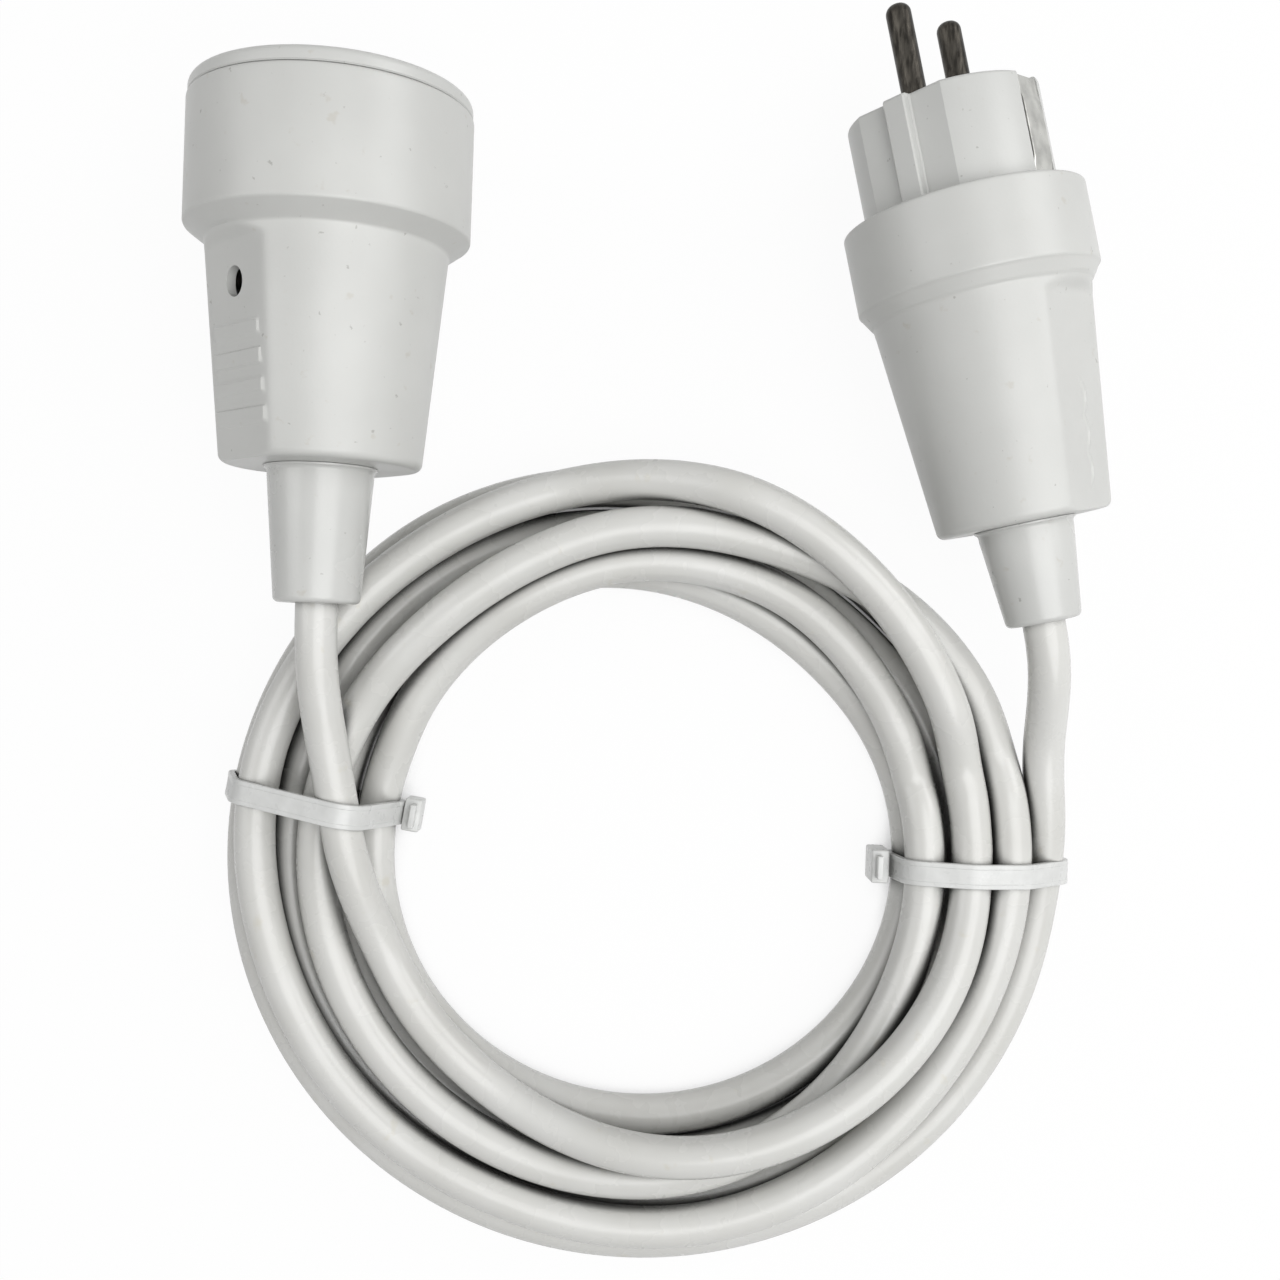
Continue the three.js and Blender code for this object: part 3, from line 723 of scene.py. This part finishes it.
# ---- Bend guards ----
# Softer PVC sleeves that stop the flex from kinking where it enters. Each snaps into the
# rear wall of its cover with a groove, and tapers to a rounded lip around the flex.
guard_white = moulded("guard_white", (0.520, 0.523, 0.508), (0.572, 0.575, 0.558), 0.26)


def lathe(outline, matrix, around=128, x=0.0):
    """A turned solid about an axis along Y; the outline is (radius, y), anticlockwise."""
    vertices, rows = [], []
    for r, y in outline:
        count = 1 if r == 0 else around
        rows.append([len(vertices) + j % count for j in range(around)])
        for j in range(count):
            a = 2 * math.pi * j / around
            vertices.append(matrix @ Vector((x + r * math.cos(a), y, r * math.sin(a))))
    faces = []
    for i, row in enumerate(rows):
        following = rows[(i + 1) % len(rows)]
        for j in range(around):
            k = (j + 1) % around
            corners = list(dict.fromkeys((row[j], following[j], following[k], row[k])))
            if len(corners) > 2:
                faces.append(corners)
    return vertices, faces


def bend_guard(name, end, matrix):
    rear = -(end["collar_l"] + end["body_l"])
    tip = rear - end["guard_l"]
    bore = FLEX_D / 2 + 0.12
    seat = rear + END_WALL + 0.3
    outline = [
        (bore, tip + 0.4),
        (bore + 0.4, tip),
        *arc(end["guard_back"] - 1.1, tip + 1.1, 1.1, -90, 0, 7),
        (end["guard_front"] - 0.1, rear - 2.0),
        *arc(end["guard_front"] + 0.8, rear - 1.3, 0.9, 180, 110, 5),
        (end["guard_front"] + 0.6, rear - 0.1),
        (end["guard_front"] - 1.2, rear - 0.1),
        (end["guard_front"] - 1.2, seat),
        (end["guard_front"] + 1.5, seat),
        (end["guard_front"] + 1.5, seat + 2),
        (bore, seat + 2),
    ]
    made = mesh_piece(name, *lathe(outline, matrix), guard_white, "guard_pvc")
    crisp(made)
    return made


socket_guard = bend_guard("socket_guard", SOCKET, socket_matrix)
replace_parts(socket_guard, "socket_bend_guard")
plug_guard = bend_guard("plug_guard", PLUG, plug_matrix)
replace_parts(plug_guard, "plug_bend_guard")


# ---- Socket's face insert ----
# A thick moulding slides into the cover's mouth. It holds the round well for the plug, two pin
# holes, guide ribs on each side and the slots of the earth springs; its rim closes the collar.
PIN_D = 4.8
PIN_SPACING = 19
WELL_D = 39.4
WELL_DEPTH = 17.5
SOCKET_BACK = -20.5
FLAT_AT = 16.2
RIB_WIDE = 4.6
EARTH_GRIP = 17.8
insert_white = moulded("insert_white", (0.532, 0.536, 0.520), (0.586, 0.590, 0.572), 0.34)


def slot_out(piece, matrix, low, high):
    """Cuts a box-shaped slot."""
    vertices, faces = rounded_block(low, high, 0.15)
    mesh = bpy.data.meshes.new("cutter")
    mesh.from_pydata([matrix @ v for v in vertices], [], faces)
    carve(piece, mesh)


def add_blocks(piece, matrix, blocks):
    """Adds closed rounded blocks to a piece."""
    grown = bmesh.new()
    grown.from_mesh(piece.data)
    for low, high, bevel in blocks:
        vertices, faces = rounded_block(low, high, bevel)
        new = [grown.verts.new(matrix @ v) for v in vertices]
        for face in faces:
            grown.faces.new([new[i] for i in face])
    grown.to_mesh(piece.data)
    grown.free()


def carrier_blocks(end, back, clamp_y):
    """The spine and the saddle behind an insert's floor."""
    s = end["side"]
    spine_end = end["screw_y"] - 4.5
    tongue_end = clamp_y - 3

    def sided(x0, x1, y0, y1, z0, z1):
        return (x0, y0, min(s * z0, s * z1)), (x1, y1, max(s * z0, s * z1)), 0.4

    return [
        sided(-3.5, 3.5, spine_end, back + 0.6, -9, 10.8),
        sided(-9.5, 9.5, tongue_end, spine_end + 8, -9, -6.5),
        sided(-9.5, 9.5, tongue_end, tongue_end + 6, -7, -4.6),
    ]


collar_r = SOCKET["collar_r"]
well_r = WELL_D / 2
cup = [
    (0, SOCKET_BACK),
    (collar_r - 2.5, SOCKET_BACK),
    (collar_r - 2.5, -3.0),
    (collar_r - 0.5, -3.0),
    (collar_r - 0.25, -2.75),
    *arc(collar_r - 1.75, -1.5, 1.5, 0, 90, 8),
    *arc(well_r + 0.9, -0.9, 0.9, 90, 180, 6),
    (well_r, -WELL_DEPTH),
    (0, -WELL_DEPTH),
]
socket_front = mesh_piece("socket_front", *lathe(cup, socket_matrix, 192), insert_white, "white_plastic")
for x in (-PIN_SPACING / 2, PIN_SPACING / 2):
    bore_out(socket_front, socket_matrix, PIN_D / 2 + 0.45, (x, SOCKET_BACK - 1, 0), (x, -WELL_DEPTH + 2, 0))
for s in (-1, 1):
    low, high = sorted((s * (EARTH_GRIP - 1), s * (EARTH_GRIP + 4.4)))
    slot_out(socket_front, socket_matrix, (-2.7, SOCKET_BACK - 1, low), (2.7, -2.8, high))
guides = []
for x in (-1, 1):
    for z in (-1, 1):
        xs = sorted((x * (FLAT_AT + 0.5), x * (well_r + 1)))
        zs = sorted((z * (RIB_WIDE / 2 + 0.6), z * (RIB_WIDE / 2 + 3.0)))
        guides.append(((xs[0], -WELL_DEPTH - 1, zs[0]), (xs[1], -2.5, zs[1]), 0.3))
add_blocks(socket_front, socket_matrix, guides + carrier_blocks(SOCKET, SOCKET_BACK, -62.5))
crisp(socket_front)
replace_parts(socket_front, "socket_face_insert")


# ---- Plug's nose ----
# The plug's insert stands 20.5 mm out of its collar. The nose is round with a flat on each
# side, a guide rib along each flat and a groove at top and bottom for the earth strips.
NOSE_D = 37
NOSE_REACH = 20.5
PLUG_BACK = -7
EARTH_SEAT = 16.9
EARTH_WIDE = 7


def nose_section():
    nose_r = NOSE_D / 2
    rib = RIB_WIDE / 2
    groove = EARTH_WIDE / 2 + 0.3
    begin = math.degrees(math.asin(math.sqrt(nose_r**2 - FLAT_AT**2) / nose_r))
    finish = math.degrees(math.acos(groove / nose_r))
    quarter = [
        (nose_r - 0.2, 0.0),
        (nose_r - 0.2, rib - 0.3),
        (nose_r - 0.5, rib),
        (FLAT_AT + 0.3, rib),
        (FLAT_AT, rib + 0.3),
        *arc(0, 0, nose_r, begin, finish, 24),
        (groove, EARTH_SEAT),
        (0.0, EARTH_SEAT),
    ]
    half = quarter + [(-x, z) for x, z in quarter[-2::-1]]
    return half + [(x, -z) for x, z in half[-2:0:-1]]


def loft(section, rows, matrix):
    """A solid with the same section all along; rows are (share of its size, y)."""
    size = len(section)
    vertices = [matrix @ Vector((x * share, y, z * share)) for share, y in rows for x, z in section]
    faces = []
    for i in range(len(rows) - 1):
        for j in range(size):
            k = (j + 1) % size
            faces.append((i * size + j, i * size + k, (i + 1) * size + k, (i + 1) * size + j))
    faces.append(list(range(size))[::-1])
    faces.append([(len(rows) - 1) * size + j for j in range(size)])
    return vertices, faces


nose_rows = [(1, -0.6), (1, 0.5), (1, NOSE_REACH - 0.7)]
nose_rows += [(1 - (0.7 - y) / (NOSE_D / 2), NOSE_REACH - 0.7 + x) for y, x in arc(0, 0, 0.7, 0, 90, 5)[1:]]
plug_nose = mesh_piece(
    "plug_nose", *loft(nose_section(), nose_rows, plug_matrix), insert_white, "white_plastic"
)
for x in (-PIN_SPACING / 2, PIN_SPACING / 2):
    bore_out(plug_nose, plug_matrix, PIN_D / 2 + 0.15, (x, -3, 0), (x, NOSE_REACH + 2, 0))
crisp(plug_nose, 25)
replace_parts(plug_nose, "plug_face_insert")

disc_r = PLUG["collar_r"] - PLUG["wall"] - 0.15
disc = [
    (0, PLUG_BACK),
    (disc_r, PLUG_BACK),
    (disc_r, -1.0),
    *arc(disc_r - 0.4, -1.0, 0.4, 0, 90, 4),
    (0, -0.6),
]
plug_disc = mesh_piece("plug_disc", *lathe(disc, plug_matrix, 160), insert_white, "white_plastic")
for s in (-1, 1):
    low, high = sorted((s * EARTH_SEAT, s * (EARTH_SEAT + 1.4)))
    half = EARTH_WIDE / 2 + 0.3
    slot_out(plug_disc, plug_matrix, (-half, PLUG_BACK - 1, low), (half, 1, high))
add_blocks(plug_disc, plug_matrix, carrier_blocks(PLUG, PLUG_BACK, -50))
crisp(plug_disc)


# ---- Metal parts ----
# Turned, nickel-plated brass pins with rounded tips; sprung earth strips; brass sleeves, bridges
# and screws inside. The pins are drawn along their length and dulled by use.
nickel = Finish("dull_nickel")
stretch = nickel.node("ShaderNodeMapping", {}, {"Vector": nickel.place(), "Scale": (1.0, 0.18, 1.0)})
drawn = nickel.noise(1500, 4, stretch)
worn = nickel.noise(420, 5)
nickel.surface(
    nickel.node(
        "ShaderNodeBsdfPrincipled",
        {},
        {
            "Base Color": nickel.mix(
                worn,
                nickel.ramp(drawn, (0.38, (0.008, 0.007, 0.006)), (0.72, (0.11, 0.10, 0.085))),
                (0.045, 0.042, 0.037, 1),
            ),
            "Metallic": 1.0,
            "Roughness": drawn * 0.3 + 0.22,
            "Normal": nickel.bump(drawn, 0.35, 0.0003),
        },
    )
)


def metal(name, dark, bright, roughness):
    finish = Finish(name)
    tarnish = finish.noise(300, 4)
    finish.surface(
        finish.node(
            "ShaderNodeBsdfPrincipled",
            {},
            {
                "Base Color": finish.ramp(tarnish, (0.35, dark), (0.7, bright)),
                "Metallic": 1.0,
                "Roughness": finish.noise(900, 2) * 0.15 + (roughness - 0.07),
            },
        )
    )
    return finish


brass = metal("brass", (0.52, 0.36, 0.13), (0.66, 0.48, 0.20), 0.33)
steel = metal("zinc_steel", (0.30, 0.30, 0.31), (0.48, 0.48, 0.50), 0.30)

pin_r = PIN_D / 2
tip = NOSE_REACH + 19
for pole, side in (("line", -1), ("neutral", 1)):
    x = side * PIN_SPACING / 2
    outline = finely(
        [
            (0, PLUG_BACK - 8),
            (2.9, PLUG_BACK - 7.7),
            (3.2, PLUG_BACK - 7.3),
            (3.2, PLUG_BACK - 0.8),
            (pin_r, PLUG_BACK - 0.4),
            (pin_r, tip - 2.1),
            *arc(pin_r - 1.9, tip - 1.9, 1.9, 0, 90, 10),
            (0, tip),
        ],
        2.0,
    )
    pin = mesh_piece(f"plug_{pole}_prong", *lathe(outline, plug_matrix, 64, x), nickel, "nickel_plate")
    crisp(pin)
    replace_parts(pin, f"plug_{pole}_pin")


def earth_strip(name, side):
    """A sprung strip with rounded edges, bowed outwards along the nose."""
    low = EARTH_SEAT + 0.3
    half = EARTH_WIDE / 2
    begin, finish = PLUG_BACK + 0.3, NOSE_REACH - 0.8
    vertices, faces = [], []
    steps = 40
    section = [(-half, 0.15), (-half + 0.15, 0), (half - 0.15, 0), (half, 0.15),
               (half, 0.65), (half - 0.15, 0.8), (-half + 0.15, 0.8), (-half, 0.65)]
    for i in range(steps + 1):
        y = begin + (finish - begin) * i / steps
        bow = 0.4 * float(ease(2, 5, y) * (1 - ease(finish - 5, finish - 2.5, y)))
        for x, up in section:
            vertices.append(plug_matrix @ Vector((x, y, side * (low + up + bow))))
    size = len(section)
    for i in range(steps):
        for j in range(size):
            k = (j + 1) % size
            faces.append((i * size + j, i * size + k, (i + 1) * size + k, (i + 1) * size + j))
    faces.append(list(range(size)))
    faces.append([steps * size + j for j in range(size)])
    made = mesh_piece(name, vertices, faces, strip_nickel, "nickel_plate")
    crisp(made)
    return made


strip_nickel = metal("strip_nickel", (0.40, 0.40, 0.38), (0.58, 0.58, 0.55), 0.30)
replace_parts(earth_strip("plug_earth_strip_a", 1), "plug_earth_contact_a")
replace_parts(earth_strip("plug_earth_strip_b", -1), "plug_earth_contact_b")
dress(strip_nickel, "nickel_plate", "socket_earth_spring_a", "socket_earth_spring_b")
dress(brass, "contact_brass", "socket_line_contact", "socket_neutral_contact",
      "socket_earth_bridge", "plug_earth_bridge")
for end_name in ("socket", "plug"):
    screws = ["line_terminal", "neutral_terminal", "earth_terminal", "housing"]
    names = [f"{end_name}_{which}_screw" for which in screws]
    names += [f"{end_name}_clamp_screw_{letter}" for letter in "ab"]
    dress(steel, "screw_steel", *names)
    dress(insert_white, "white_plastic", f"{end_name}_cord_clamp")


# ---- Cores ----
# The three insulated wires inside each end: brown, blue and green with a yellow stripe.
def insulation(name, colour, second):
    finish = Finish(name)
    stripe = finish.ramp(finish.noise(420, 1), (0.49, colour), (0.51, second))
    finish.surface(
        finish.node(
            "ShaderNodeBsdfPrincipled",
            {},
            {"Base Color": stripe, "Roughness": finish.noise(600, 2) * 0.1 + 0.4},
        )
    )
    return finish


core_finishes = {
    "line": (insulation("core_brown", (0.10, 0.035, 0.013), (0.12, 0.045, 0.018)), "core_brown"),
    "neutral": (insulation("core_blue", (0.02, 0.11, 0.38), (0.03, 0.14, 0.42)), "core_blue"),
    "earth": (insulation("core_striped", (0.05, 0.26, 0.04), (0.62, 0.52, 0.03)), "core_green_yellow"),
}
for end_name in ("socket", "plug"):
    for pole, (finish, slot_name) in core_finishes.items():
        dress(finish, slot_name, f"{end_name}_{pole}_core")


far_pieces = [plug_cover, plug_guard, plug_nose, plug_disc, *ties]
far_pieces += [bpy.data.objects[name] for name in ("plug_line_prong", "plug_neutral_prong")]
far_pieces += [bpy.data.objects[name] for name in ("plug_earth_strip_a", "plug_earth_strip_b")]
